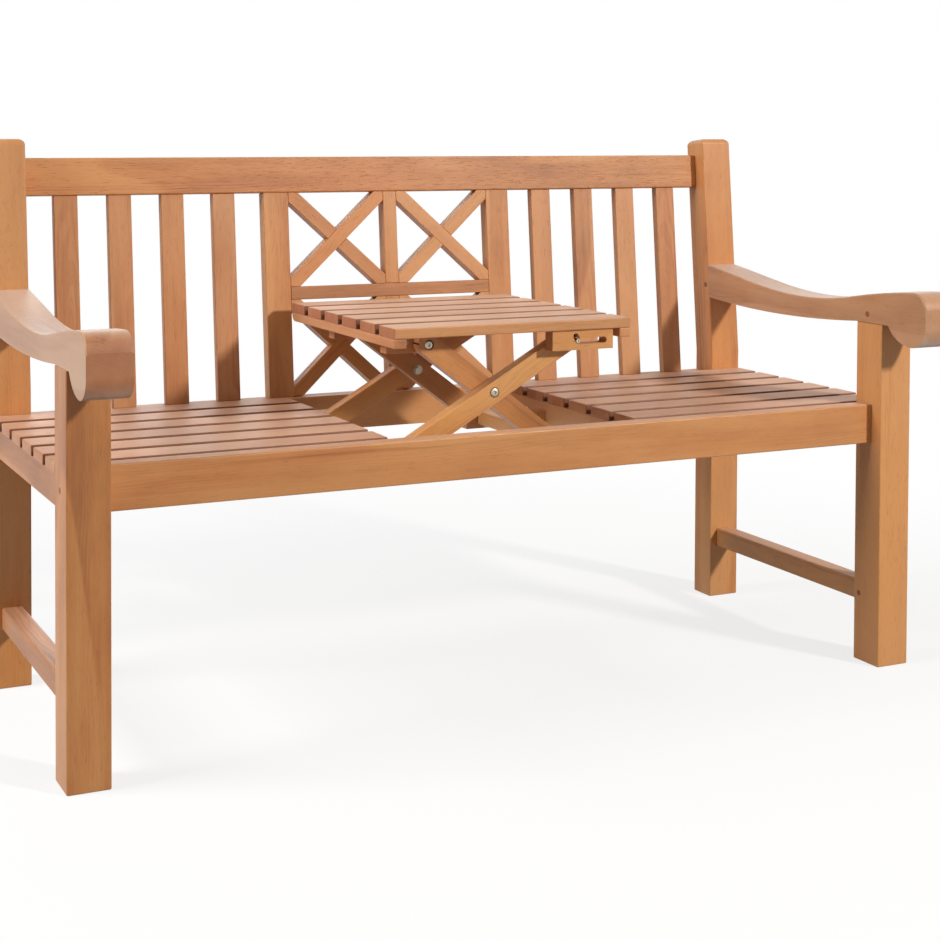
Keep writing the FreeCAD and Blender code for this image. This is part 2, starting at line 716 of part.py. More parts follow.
# Table top: the slats line up with the seat slats, and a batten ties them at each end.
table_slat_bottom = "table_z - slat_thick"
table_depth = "(%d * slat_width + %d * slat_gap)" % (slat_count, slat_count - 1)
for i in range(slat_count):
    y = "slat_first_y + %d * %s" % (i, slat_step)
    slat = box("-table_width / 2", y, table_slat_bottom, "table_width", "slat_width", "slat_thick")
    keep(slat, "table_slat_%d" % (i + 1))
batten_z = table_slat_bottom + " - batten_height"


def at_batten_rear(centre, edge):
    """True for the low edge across the rear end of a batten."""
    batten_middle = sizes["table_z"] - sizes["slat_thick"] - sizes["batten_height"] / 2
    low = edge.BoundBox.ZMax < batten_middle
    return low and centre.y > 0 and edge.BoundBox.XLength > sizes["batten_width"] / 2


for side in ("left", "right"):
    x = mirrored_x(side, "table_width / 2 - batten_width", "(table_width / 2)")
    batten = box(x, "slat_first_y", batten_z, "batten_width", table_depth, "batten_height")
    batten = round_edges(batten, "batten_round", at_batten_rear)
    keep(batten, "table_batten_" + side)

# Under the table: blocks for the inner legs on the left, slotted guides for the pins on the right.
block_z = table_slat_bottom + " - block_height"
batten_face = "(table_width / 2 - batten_width)"
blocks = []
guides = []
screws = []


def add_screws(piece, end, out):
    """Sink two screws into the outside of a block, between its bolt and its outer end."""
    z = table_slat_bottom + " - block_height / 2"
    for x in ("-block_inner_x - first_screw", "-block_inner_x - first_screw - screw_step"):
        piece = cut(piece, bolt(end, x, z, "screw_radius + running_gap", out, "screw_length"))
        screws.append(bolt(end, x, z, "screw_radius", out + " - pin_inset", "screw_length - pin_inset"))
    return piece


for end in ends:
    block = box("-" + batten_face, layer(end, "block_out", "block_thick"), block_z,
                "%s - block_inner_x" % batten_face, "block_thick", "block_height")
    bore = bolt(end, "block_pin_x", "top_pin_z", "bolt_radius + running_gap", "block_out", "block_thick")
    blocks.append(add_screws(cut(block, bore), end, "block_out"))
    guide = box("guide_inner_x", layer(end, "guide_out", "block_thick"), block_z,
                "%s - guide_gap - guide_inner_x" % batten_face, "block_thick", "block_height")
    pin_slot = slot(end, "top_pin_x", "top_pin_z", "guide_out", "block_thick", "pin_travel")
    notch_x = "top_pin_x - notch_length * cos(notch_angle)"
    notch_z = "top_pin_z + notch_length * sin(notch_angle)"
    notch_end = bolt(end, notch_x, notch_z, "slot_half", "guide_out", "block_thick")
    notch = bare_box("notch_length", "block_thick", "2 * slot_half")
    turn(notch, (0, 1, 0), "notch_angle - 180")
    place(notch, "top_pin_x + slot_half * sin(notch_angle)", layer(end, "guide_out", "block_thick"),
          "top_pin_z + slot_half * cos(notch_angle)")
    guides.append(cut(guide, pin_slot, notch_end, notch))
keep(group(*blocks), "table_blocks")
keep(group(*guides), "table_guides")

# In the opening: blocks for the outer legs' lower pivots, slotted guides for the inner feet, and a
# rest between each of them and the divider, where the lowered table's battens land.
pivot_blocks = []
foot_guides = []
rests = []
for end in ends:
    guide_y = layer(end, "guide_out", "block_thick")
    block_y = layer(end, "block_out", "block_thick")
    rest_height = "rest_top - lower_bottom"
    rests.append(box("-opening_left", guide_y, "lower_bottom", "rest_width", "block_thick", rest_height))
    rests.append(box("opening_right - rest_width", block_y, "lower_bottom", "rest_width", "block_thick",
                     rest_height))
    block = box("rest_width - opening_left", guide_y, "lower_bottom",
                "opening_left - rest_width + pivot_block_x", "block_thick", "pivot_block_top - lower_bottom")
    bore = bolt(end, "leg_pivot_x", "leg_pivot_z", "bolt_radius + running_gap", "guide_out", "block_thick")
    pivot_blocks.append(cut(block, bore))
    guide = box("foot_guide_x", block_y, "lower_bottom", "opening_right - rest_width - foot_guide_x",
                "block_thick", "foot_guide_top - lower_bottom")
    foot_slot = slot(end, "foot_x", "leg_pivot_z", "block_out", "block_thick", "foot_travel")
    foot_guides.append(cut(guide, foot_slot))
keep(group(*pivot_blocks), "leg_pivot_blocks")
keep(group(*foot_guides), "foot_guides")
keep(group(*rests), "batten_rests")
keep(group(*screws), "block_screws")


# Bolts run from a round head on a layer's outside to a washer and a nut past its inside.
def hexagon(end, x, z, radius, out, height):
    """A six-sided bar along Y."""
    prism = doc.addObject("Part::Prism", "Hexagon")
    prism.Polygon = 6
    prism.Placement.Rotation = ALONG_Y
    place(prism, x, layer(end, out, height), z)
    bind(prism, "Circumradius", radius)
    bind(prism, "Height", height)
    return prism


def bolt_set(end, x, z, out, grip):
    """A bolt, its washer and its nut; the grip is the wood between head and washer."""
    outside = "(%s + head_height)" % out
    inside = "(%s - %s)" % (out, grip)
    shank = bolt(end, x, z, "bolt_radius", out, "(%s + washer_thick + nut_height)" % grip)
    head = bolt(end, x, z, "head_radius", outside, "head_height")
    socket = hexagon(end, x, z, "socket_radius", outside, "socket_depth")
    washer = bolt(end, x, z, "washer_radius", inside, "washer_thick")
    nut = hexagon(end, x, z, "nut_radius", inside + " - washer_thick", "nut_height")
    bore = bolt(end, x, z, "bolt_radius + running_gap", inside, "washer_thick + nut_height")
    return [cut(fuse(shank, head), socket), cut(washer, bore), cut(nut, bore)]


scissor_bolts = []
pivot_bolts = []
table_bolts = []
top_pins = []
for end in ends:
    scissor_bolts += bolt_set(end, "scissor_x", "scissor_z", "(outer_leg_out - outer_sink)",
                              "(outer_leg_out - outer_sink - inner_leg_out + leg_thick)")
    pivot_bolts += bolt_set(end, "leg_pivot_x", "leg_pivot_z", "guide_out",
                            "(guide_out - outer_leg_out + leg_thick)")
    table_bolts += bolt_set(end, "block_pin_x", "top_pin_z", "(inner_leg_out - inner_sink)",
                            "(inner_leg_out - inner_sink - block_out + block_thick)")
    top_pins.append(bolt(end, "top_pin_x", "top_pin_z", "pin_radius", "(guide_out - pin_inset)",
                         "(guide_out - outer_leg_out + leg_thick - 2 * pin_inset)"))
keep(group(*scissor_bolts), "scissor_bolts")
keep(group(*pivot_bolts), "leg_pivot_bolts")
keep(group(*table_bolts), "table_bolts")
keep(group(*top_pins), "top_pins")

doc.recompute()
for obj in doc.Objects:
    if "Invalid" in obj.State or "Error" in obj.State:
        raise RuntimeError("%s failed to rebuild: %s" % (obj.Label, obj.State))
for obj in finished:
    if obj.Shape.isNull() or not obj.Shape.isValid() or obj.Shape.Volume <= 0:
        raise RuntimeError("%s has no sound shape" % obj.Label)
    obj.Shape.exportStep("parts/%s.step" % obj.Label)
print("%d pieces written" % len(finished))
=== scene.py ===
import json
import math
import random

import bmesh
import bpy
from mathutils import Matrix, Vector
from mathutils.kdtree import KDTree


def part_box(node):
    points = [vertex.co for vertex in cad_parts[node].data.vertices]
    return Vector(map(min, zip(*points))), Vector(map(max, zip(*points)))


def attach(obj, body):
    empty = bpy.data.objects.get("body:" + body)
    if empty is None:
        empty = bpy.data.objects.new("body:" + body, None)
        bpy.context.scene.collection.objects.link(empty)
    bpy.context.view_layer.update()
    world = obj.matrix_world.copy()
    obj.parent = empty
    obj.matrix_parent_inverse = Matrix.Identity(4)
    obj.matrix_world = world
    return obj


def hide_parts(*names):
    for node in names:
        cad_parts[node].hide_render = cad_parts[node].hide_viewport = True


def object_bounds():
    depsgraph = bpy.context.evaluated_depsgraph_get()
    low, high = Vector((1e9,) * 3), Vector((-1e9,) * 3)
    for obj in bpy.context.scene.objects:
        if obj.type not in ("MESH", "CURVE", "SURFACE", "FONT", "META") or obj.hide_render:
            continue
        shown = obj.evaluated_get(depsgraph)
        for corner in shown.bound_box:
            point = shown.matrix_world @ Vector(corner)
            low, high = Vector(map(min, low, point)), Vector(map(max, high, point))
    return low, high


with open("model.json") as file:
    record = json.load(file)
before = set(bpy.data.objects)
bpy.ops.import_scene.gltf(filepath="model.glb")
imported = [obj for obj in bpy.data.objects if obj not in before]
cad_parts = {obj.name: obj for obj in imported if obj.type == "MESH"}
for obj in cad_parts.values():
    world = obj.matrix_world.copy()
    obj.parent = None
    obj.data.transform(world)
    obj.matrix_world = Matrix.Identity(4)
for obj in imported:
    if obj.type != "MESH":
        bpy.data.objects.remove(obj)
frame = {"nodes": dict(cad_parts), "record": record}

# Companion seat bench in oiled teak, seen from the front left. Lengths are in metres.
MM = 0.001
cad_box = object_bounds()
scene = bpy.context.scene
dice = random.Random(11)


# Shader and node helpers
class Wire:
    """One output of a node, which Python's own operators work on as a number."""

    def __init__(self, sheet, socket):
        self.sheet = sheet
        self.socket = socket

    def combine(self, operation, first, second):
        return self.sheet.node("ShaderNodeMath", {"operation": operation}, {0: first, 1: second})

    def __add__(self, other):
        return self.combine("ADD", self, other)

    def __radd__(self, other):
        return self.combine("ADD", other, self)

    def __sub__(self, other):
        return self.combine("SUBTRACT", self, other)

    def __rsub__(self, other):
        return self.combine("SUBTRACT", other, self)

    def __mul__(self, other):
        return self.combine("MULTIPLY", self, other)

    def __rmul__(self, other):
        return self.combine("MULTIPLY", other, self)

    def __pow__(self, other):
        return self.combine("POWER", self, other)


class Sheet:
    """A node tree with short ways to add nodes, for materials and for geometry alike."""

    def __init__(self, tree):
        self.tree = tree

    def node(self, kind, settings=None, values=None, output=0):
        """Add a node: settings first, then a value or a wire for each named or numbered socket."""
        made = self.tree.nodes.new(kind)
        for key, value in (settings or {}).items():
            if key == "stops":
                self.fill_ramp(made.color_ramp, value)
            else:
                setattr(made, key, value)
        for key, value in (values or {}).items():
            socket = made.inputs[key]
            if isinstance(value, Wire):
                self.tree.links.new(value.socket, socket)
            else:
                socket.default_value = value
        return Wire(self, made.outputs[output])

    @staticmethod
    def fill_ramp(ramp, stops):
        while len(ramp.elements) < len(stops):
            ramp.elements.new(0.5)
        for element, (position, colour) in zip(ramp.elements, stops):
            element.position = position
            element.color = (*colour, 1.0)

    def smooth(self, value, low, high):
        """0 below low, 1 above high, and a soft step between."""
        settings = {"interpolation_type": "SMOOTHSTEP"}
        return self.node("ShaderNodeMapRange", settings, {"Value": value, "From Min": low, "From Max": high})

    def stretch(self, vector, scale):
        return self.node("ShaderNodeVectorMath", {"operation": "MULTIPLY"}, {0: vector, 1: scale})

    def noise(self, vector, scale=1.0, detail=2.0, roughness=0.5, distortion=0.0):
        values = {"Vector": vector, "Scale": scale, "Detail": detail, "Roughness": roughness,
                  "Distortion": distortion}
        return self.node("ShaderNodeTexNoise", {}, values)

    def mix_colour(self, amount, first, second, blend="MIX"):
        """Colours have sockets of their own on this node, which share their names with the others."""
        factor, colour_a, colour_b, colour_result = 0, 6, 7, 2
        return self.node("ShaderNodeMix", {"data_type": "RGBA", "blend_type": blend},
                         {factor: amount, colour_a: first, colour_b: second}, output=colour_result)

    def finish(self, kind, result):
        """End the tree in an output node of this kind."""
        output = self.tree.nodes.new(kind)
        self.tree.links.new(result.socket, output.inputs[0])


def new_material(name):
    """An empty material and the sheet that its nodes go on."""
    material = bpy.data.materials.new(name)
    material.use_nodes = True
    tree = material.node_tree
    tree.nodes.clear()
    return material, Sheet(tree)


def colour(red, green, blue):
    """A colour given as it looks on a screen, 0 to 255, as the shader's linear values."""
    linear = []
    for part in (red, green, blue):
        part = part / 255
        # The sRGB curve: a straight foot, then a power.
        linear.append(part / 12.92 if part <= 0.04045 else ((part + 0.055) / 1.055) ** 2.4)
    return (*linear, 1.0)


def finish_surface(sheet, base, roughness, height, bump_depth, metallic=0.0, sheen=0.0):
    """Join colour, roughness and a height in metres to one surface shader."""
    bump = sheet.node("ShaderNodeBump", {}, {"Strength": 1.0, "Distance": bump_depth, "Height": height})
    values = {"Base Color": base, "Roughness": roughness, "Metallic": metallic, "Normal": bump,
              "Sheen Weight": sheen, "Sheen Roughness": 0.5}
    sheet.finish("ShaderNodeOutputMaterial", sheet.node("ShaderNodeBsdfPrincipled", {}, values))


# Materials
def teak(name, pale, middle, dark, sheen=0.22):
    """Oiled teak, cut from a log: rings, streaks, fibre and pores follow each board's own grain.

    The attribute grain holds metres along the grain and across it from the heart of the tree,
    board is a number from 0 to 1 for each board, which some pieces carry as painted light or shade,
    cut_end is 1 where the saw went across, and between is 1 on the edges of slats that face each
    other across a gap, which are darkened there as painted shade.
    """
    material, sheet = new_material(name)

    def attribute(name, output):
        return sheet.node("ShaderNodeAttribute", {"attribute_name": name}, output=output)

    grain = attribute("grain", "Vector")
    board = attribute("board", "Fac")
    cut_end = attribute("cut_end", "Fac")
    between = attribute("between", "Fac")

    def mottle(along, across, **settings):
        """Noise with this many cells to a metre along the grain and across it."""
        return sheet.noise(sheet.stretch(grain, (along, across, across)), **settings)

    # The heart wanders along the trunk, so that flat faces show long arches.
    wander = sheet.stretch(grain, (1.7, 7.0, 7.0))
    wander = sheet.node("ShaderNodeTexNoise", {}, {"Vector": wander, "Scale": 1.0, "Detail": 3.0},
                        output="Color")
    wander = sheet.node("ShaderNodeVectorMath", {"operation": "SUBTRACT"}, {0: wander, 1: (0.5, 0.5, 0.5)})
    wander_reach = 0.07
    wander = sheet.stretch(wander, (0.0, wander_reach, wander_reach))
    trunk = sheet.stretch(grain, (0, 1, 1))
    trunk = sheet.node("ShaderNodeVectorMath", {"operation": "ADD"}, {0: trunk, 1: wander})
    radius = sheet.node("ShaderNodeVectorMath", {"operation": "LENGTH"}, {0: trunk}, output="Value")
    # Good years and bad years: each ring is a little wider or darker than the next.
    years = sheet.node("ShaderNodeTexNoise", {"noise_dimensions": "1D"}, {"W": radius * 90.0, "Detail": 2.0})
    ring_step = 4.6 * MM
    phase = radius * (2 * math.pi / ring_step) + years * 9.0
    rings = (sheet.node("ShaderNodeMath", {"operation": "SINE"}, {0: phase}) * 0.5 + 0.5) ** 3.0
    rings = rings * (1 - cut_end * 0.5)
    clear = sheet.smooth(mottle(1.3, 20.0), 0.40, 0.68)

    cloud = mottle(2.4, 15.0, detail=4.0, roughness=0.55, distortion=0.4)
    blotch = mottle(7.0, 13.0, detail=3.0, roughness=0.6)
    streak = mottle(2.2, 75.0, detail=4.0, roughness=0.60)
    vein = sheet.smooth(mottle(1.6, 62.0, detail=3.0, distortion=0.3), 0.60, 0.72)
    fibre = mottle(22.0, 850.0, roughness=0.65)
    pore = sheet.smooth(mottle(48.0, 1300.0, detail=1.0), 0.64, 0.74)

    # How deep the colour is, from the palette's pale end to its dark end.
    depth = 0.46 * cloud + 0.18 * streak + 0.08 * fibre + 0.10 * rings * clear + 0.11 * vein * clear
    depth = depth + (blotch - 0.5) * 0.20 + (board - 0.5) * 0.30 + cut_end * 0.22
    # Where the saw ran near the bark a board keeps pale sapwood, with a plain border to the heartwood.
    sapwood = sheet.smooth(mottle(1.5, 9.0, detail=1.0), 0.55, 0.59)
    depth = depth - (sapwood - 0.3) * 0.13
    depth = sheet.smooth(depth, 0.24, 0.86)
    stops = [(0.0, pale[:3]), (0.42, middle[:3]), (1.0, dark[:3])]
    base = sheet.node("ShaderNodeValToRGB", {"stops": stops}, {"Fac": depth})
    # Some boards lean to yellow and some to pink, and so do patches within one board.
    warm = mottle(1.1, 6.0)
    pink = sheet.smooth(warm, 0.48, 0.72)
    yellow = 1 - sheet.smooth(warm, 0.30, 0.54)
    rose, honey = colour(206, 146, 122), colour(204, 150, 70)
    pore_brown, end_brown, painted_gap_shade = colour(84, 44, 22), colour(172, 96, 56), colour(96, 46, 28)
    base = sheet.mix_colour(pink * 0.22, base, rose, "SOFT_LIGHT")
    base = sheet.mix_colour(yellow * 0.30, base, honey, "SOFT_LIGHT")
    base = sheet.mix_colour(pore * 0.32, base, pore_brown)
    base = sheet.mix_colour(cut_end * 0.6, base, end_brown)
    # Painted shade: the slat edges that face each other across a gap are darkened, as if in the gap's
    # shadow.
    base = sheet.mix_colour(between * 0.78, base, painted_gap_shade)

    roughness = 0.46 + (fibre - 0.5) * 0.20 + cut_end * 0.10 + (cloud - 0.5) * 0.12
    height = fibre * 0.5 + streak * 0.35 - pore * 0.6
    finish_surface(sheet, base, roughness, height, bump_depth=0.25 * MM, sheen=sheen)
    return material


def zinc():
    """Zinc plated steel with a faint warm cast and fine brushing."""
    material, sheet = new_material("zinc_plate")
    where = sheet.node("ShaderNodeTexCoord", output="Object")
    cloud = sheet.noise(where, scale=220.0, detail=3.0)
    brushed = sheet.noise(sheet.stretch(where, (900.0, 5000.0, 5000.0)), detail=2.0)
    base = sheet.mix_colour(cloud, colour(196, 188, 168), colour(150, 144, 130))
    finish_surface(sheet, base, 0.30 + cloud * 0.22, brushed + cloud, bump_depth=0.08 * MM, metallic=1.0)
    return material


def plug_end():
    """End grain of the dowels that close the joints."""
    material, sheet = new_material("dowel_end")
    where = sheet.node("ShaderNodeTexCoord", output="Object")
    speck = sheet.noise(where, scale=1800.0, detail=2.0)
    tone = sheet.noise(where, scale=160.0, detail=2.0)
    base = sheet.mix_colour(sheet.smooth(speck, 0.45, 0.7) * 0.6, colour(150, 92, 54), colour(88, 48, 26))
    base = sheet.mix_colour(tone * 0.4, base, colour(112, 66, 38))
    finish_surface(sheet, base, 0.55 + speck * 0.15, speck, bump_depth=0.2 * MM)
    return material


# Each palette is a pale, a middle and a dark tone.
teak_front = teak("oiled_teak", colour(212, 150, 90), colour(188, 122, 64), colour(118, 62, 26))
teak_slat = teak("oiled_teak_slats", colour(208, 148, 96), colour(184, 121, 70), colour(116, 63, 32))
teak_table = teak("oiled_teak_table", colour(216, 160, 108), colour(192, 131, 78), colour(126, 72, 38))
teak_leg = teak("oiled_teak_linkage", colour(218, 158, 92), colour(196, 130, 68), colour(124, 68, 30))
# The arms' palette is paler and greyer than the rest: partly the arms' own tone, partly painted sheen for
# the white that their tops and sides reflect.
teak_arm = teak("oiled_teak_arms", colour(196, 150, 112), colour(174, 122, 82), colour(106, 60, 34),
                sheen=0.4)
zinc_plate = zinc()
dowel_end = plug_end()


# Wooden pieces
def loose_parts(mesh):
    """The vertex numbers of each separate solid in a mesh."""
    parent = list(range(len(mesh.vertices)))

    def root(i):
        while parent[i] != i:
            parent[i] = parent[parent[i]]
            i = parent[i]
        return i

    for edge in mesh.edges:
        a, b = root(edge.vertices[0]), root(edge.vertices[1])
        if a != b:
            parent[b] = a
    solids = {}
    for i in range(len(parent)):
        solids.setdefault(root(i), []).append(i)
    return list(solids.values())


def sawn_along(mesh, members):
    """The direction that a solid's longer edges agree on, which is how its board was sawn."""
    inside = set(members)
    spread = Matrix(((0, 0, 0), (0, 0, 0), (0, 0, 0)))
    for edge in mesh.edges:
        if edge.vertices[0] in inside:
            run = mesh.vertices[edge.vertices[1]].co - mesh.vertices[edge.vertices[0]].co
            share = run.length ** 2
            for row in range(3):
                spread[row] = Vector(spread[row]) + run * run[row] * share
    along = Vector((0.6, 0.5, 0.62))  # any start will do that isn't square to a usual board
    rounds_to_settle = 40
    for _ in range(rounds_to_settle):
        along = (spread @ along).normalized()
    return along


TRUNK_LENGTH = 40.0
HEART_NEAR, HEART_FAR = 0.02, 0.10  # how far from the heart of the tree a board was sawn
USUAL_SHADES = (0.3, 0.7)
USUAL_END_SHADE = 0.2
END_GRAIN_FROM = 0.3  # the share of a face that has to look along the grain to show end grain


def mark_grain(mesh, direction=None, shade_of_board=None, end_shade=USUAL_END_SHADE):
    """Give every solid of a finished mesh its grain, board and cut_end attributes."""
    for name, kind, domain in (("grain", "FLOAT_VECTOR", "POINT"), ("board", "FLOAT", "POINT"),
                               ("cut_end", "FLOAT", "CORNER")):
        mesh.attributes.new(name, kind, domain)
    grain = mesh.attributes["grain"]
    board = mesh.attributes["board"]
    cut_end = mesh.attributes["cut_end"]
    along_of = [None] * len(mesh.vertices)
    for members in loose_parts(mesh):
        along = Vector(direction) if direction else sawn_along(mesh, members)
        side = along.cross(Vector((0, 0, 1)))
        nearly_upright = side.length < 0.3
        if nearly_upright:
            side = along.cross(Vector((0, 1, 0)))
        side.normalize()
        across = side.cross(along)
        middle = Vector((0, 0, 0))
        for i in members:
            middle += mesh.vertices[i].co
        middle /= len(members)
        turn = dice.uniform(0, 2 * math.pi)
        reach = dice.uniform(HEART_NEAR, HEART_FAR)
        start = Vector((dice.uniform(0, TRUNK_LENGTH), reach * math.cos(turn), reach * math.sin(turn)))
        shade = dice.uniform(*USUAL_SHADES) if shade_of_board is None else shade_of_board
        for i in members:
            place = mesh.vertices[i].co - middle
            grain.data[i].vector = Vector((place.dot(along), place.dot(side), place.dot(across))) + start
            board.data[i].value = shade
            along_of[i] = along
    for corner in mesh.loops:
        facing = abs(mesh.corner_normals[corner.index].vector.dot(along_of[corner.vertex_index]))
        end_grain = max(0.0, (facing - END_GRAIN_FROM) / (1 - END_GRAIN_FROM))
        cut_end.data[corner.index].value = end_shade * end_grain


def as_plain_mesh(piece):
    """Replace a piece's mesh by what its modifiers make of it, and take the modifiers off."""
    bpy.context.view_layer.update()
    evaluated = piece.evaluated_get(bpy.context.evaluated_depsgraph_get())
    mesh = bpy.data.meshes.new_from_object(evaluated)
    mesh.name = piece.name
    piece.modifiers.clear()
    piece.data = mesh
    return mesh


def set_inputs(modifier, values):
    """Give a geometry modifier its inputs by their names."""
    for item in modifier.node_group.interface.items_tree:
        if item.item_type == "SOCKET" and item.in_out == "INPUT" and item.name in values:
            modifier[item.identifier] = values[item.name]


def new_piece(name, mesh, material):
    """An object in the scene with one material."""
    piece = bpy.data.objects.new(name, mesh)
    scene.collection.objects.link(piece)
    mesh.materials.clear()
    mesh.materials.append(material)
    return piece


SHARP = math.radians(35)
FLAT_FACES_LEAD = 100


def ease_edges(piece, width, weighted=False):
    """Round the sharp edges, or those with a weight, and let the flat faces keep their own normals."""
    for polygon in piece.data.polygons:
        polygon.use_smooth = True
    bevel = piece.modifiers.new("eased", "BEVEL")
    bevel.width = width
    bevel.segments = 3
    bevel.limit_method = "WEIGHT" if weighted else "ANGLE"
    bevel.angle_limit = SHARP
    bevel.use_clamp_overlap = True  # without it short edges throw the bevel past the solid
    normals = piece.modifiers.new("normals", "WEIGHTED_NORMAL")
    normals.mode = "FACE_AREA_WITH_ANGLE"
    normals.weight = FLAT_FACES_LEAD
    normals.keep_sharp = True


def solids_of(node):
    """The closed solids of a node, each as a list of triangles that number their corner points.

    A node lists its triangles solid by solid, so a solid ends where no edge is left open.
    """
    mesh = frame["nodes"][node].data
    weld = 0.005 * MM
    tree = KDTree(len(mesh.vertices))
    for vertex in mesh.vertices:
        tree.insert(vertex.co, vertex.index)
    tree.balance()
    first = [min(found[1] for found in tree.find_range(vertex.co, weld)) for vertex in mesh.vertices]
    solids = []
    triangles = []
    open_edges = set()
    for polygon in mesh.polygons:
        corners = [first[i] for i in polygon.vertices]
        if len(set(corners)) < 3:
            continue
        triangles.append(corners)
        for a, b in zip(corners, corners[1:] + corners[:1]):
            open_edges ^= {(min(a, b), max(a, b))}
        if not open_edges:
            solids.append(triangles)
            triangles = []
    if triangles:
        solids.append(triangles)
    return solids


def solid_boxes(node):
    """Low and high corners of each solid of a node, sorted from front to back."""
    mesh = frame["nodes"][node].data
    boxes = []
    for triangles in solids_of(node):
        points = [mesh.vertices[i].co for corners in triangles for i in corners]
        low = Vector((min(p[k] for p in points) for k in range(3)))
        high = Vector((max(p[k] for p in points) for k in range(3)))
        boxes.append((low, high))
    return sorted(boxes, key=lambda pair: pair[0].y)


HARDWARE = ("joint_plugs", "scissor_bolts", "leg_pivot_bolts", "table_bolts", "top_pins", "block_screws")
SPOTS = [(node, (low + high) / 2) for node in HARDWARE for low, high in solid_boxes(node)]
HOLE_REACH = 11 * MM
HOLE_DEPTH = 60 * MM
RIM_EDGE = 6 * MM


def at_a_hole(edge):
    """True for the short edges of a hole's rim, which keeps its sharp corner."""
    middle = (edge.verts[0].co + edge.verts[1].co) / 2
    if (edge.verts[0].co - edge.verts[1].co).length > RIM_EDGE:
        return False
    for node, spot in SPOTS:
        off = middle - spot
        depth = off.x if node == "joint_plugs" else off.y
        flat = math.sqrt(max(0.0, off.length_squared - depth ** 2))
        if flat < HOLE_REACH and abs(depth) < HOLE_DEPTH:
            return True
    return False


def clean_copy(node):
    """A CAD node's solids as whole faces: doubles merged within each, flat neighbours joined."""
    source = frame["nodes"][node].data
    work = bmesh.new()
    for triangles in solids_of(node):
        corner_of = {}
        for corners in triangles:
            for i in corners:
                if i not in corner_of:
                    corner_of[i] = work.verts.new(source.vertices[i].co)
            work.faces.new([corner_of[i] for i in corners])
    work.normal_update()
    flat_within = math.radians(0.4)
    bmesh.ops.dissolve_limit(work, angle_limit=flat_within, verts=work.verts, edges=work.edges)
    return work


def timber(node, material, ease=1.6 * MM, direction=None):
    """Dress one CAD node: the same solid with eased edges and its own grain."""
    work = clean_copy(node)
    weights = work.edges.layers.float.new("bevel_weight_edge")
    for edge in work.edges:
        eased = len(edge.link_faces) == 2 and edge.is_convex and edge.calc_face_angle(0.0) > SHARP
        if eased and not at_a_hole(edge):
            edge[weights] = 1.0
    mesh = bpy.data.meshes.new(node)
    work.to_mesh(mesh)
    work.free()
    piece = new_piece("wood_" + node, mesh, material)
    ease_edges(piece, ease, weighted=True)
    mesh = as_plain_mesh(piece)
    mark_grain(mesh, direction, BOARD_TONE_AND_PAINTED_SHADE.get(node), END_SHADE.get(node, USUAL_END_SHADE))
    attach(piece, body_of[node])
    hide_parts(node)


body_of = {}
for body, members in frame["record"]["behaviour"]["bodies"].items():
    for member in members:
        body_of[member] = body

ALONG_Y = (0, 1, 0)
ALONG_X = (1, 0, 0)

# How dark a board is, from 0 to 1, where the photograph shows it plainly paler or darker than most.
# Some entries paint in light and shade rather than the board's own tone: the left stretcher and side rail,
# the table blocks, the left table batten and the rear linkage legs are darker as painted shadow, and the
# right divider is paler as painted light from the side lamp.
BOARD_TONE_AND_PAINTED_SHADE = {
    "front_leg_left": 1.0, "front_leg_right": 0.2, "back_post_left": 0.35, "back_post_right": 0.55,
    "top_rail": 0.85, "front_rail": 0.60, "side_rail_left": 1.0,
    "stretcher_left": 1.0, "stretcher_right": 0.2,
    "lattice_stile_left": 0.75, "lattice_stile_right": 0.7, "lattice_rail": 0.9,
    "inner_leg_front": 1.0, "outer_leg_front": 0.1, "divider_right": 0.0, "arm_right": 0.7,
    "table_blocks": 1.0, "table_batten_left": 0.9, "outer_leg_rear": 0.8, "inner_leg_rear": 0.9,
}
# How much darker the end grain of a piece is: the carved noses of the arms show it most. The
# amounts also paint in light and shade: the left nose is darkened as painted shade, and the right
# nose, which the key lamp lights, gets none.
END_SHADE = {"arm_left": 0.8, "arm_right": 0.0}
for side in ("left", "right"):
    timber("front_leg_" + side, teak_front, ease=2.5 * MM)
    timber("back_post_" + side, teak_front, ease=2.5 * MM)
    timber("arm_" + side, teak_arm, ease=3.5 * MM, direction=ALONG_Y)
    timber("side_rail_" + side, teak_front)
    timber("stretcher_" + side, teak_front, ease=1.0 * MM)
    timber("divider_" + side, teak_table)
    timber("lattice_stile_" + side, teak_front)
    timber("lattice_cross_lower_" + side, teak_front, ease=1.0 * MM)
    timber("lattice_cross_upper_" + side, teak_front, ease=1.0 * MM)
    timber("table_batten_" + side, teak_table, direction=ALONG_Y)
timber("front_rail", teak_front, ease=2.5 * MM)
timber("back_rail", teak_front)
timber("top_rail", teak_front, ease=2.5 * MM)
timber("lattice_rail", teak_front)
timber("lattice_stile_lower", teak_front)
timber("lattice_stile_upper", teak_front)
for end in ("front", "rear"):
    timber("outer_leg_" + end, teak_leg)
    timber("inner_leg_" + end, teak_leg)
for node in ("table_blocks", "table_guides", "leg_pivot_blocks", "foot_guides", "batten_rests"):
    timber(node, teak_leg, ease=1.2 * MM, direction=ALONG_X)
timber("cross_bar", teak_leg, ease=0.5 * MM, direction=ALONG_Y)


def geometry_tree(name, inputs):
    """A new geometry tree with these (name, kind) inputs: its sheet, and a wire from each input."""
    tree = bpy.data.node_groups.new(name, "GeometryNodeTree")
    for title, kind in inputs:
        tree.interface.new_socket(title, in_out="INPUT", socket_type="NodeSocket" + kind)
    tree.interface.new_socket("Result", in_out="OUTPUT", socket_type="NodeSocketGeometry")
    sheet = Sheet(tree)
    start = tree.nodes.new("NodeGroupInput")
    return sheet, {socket.name: Wire(sheet, socket) for socket in start.outputs if socket.name}


def named_vector(sheet, name):
    return sheet.node("GeometryNodeInputNamedAttribute", {"data_type": "FLOAT_VECTOR"}, {"Name": name})


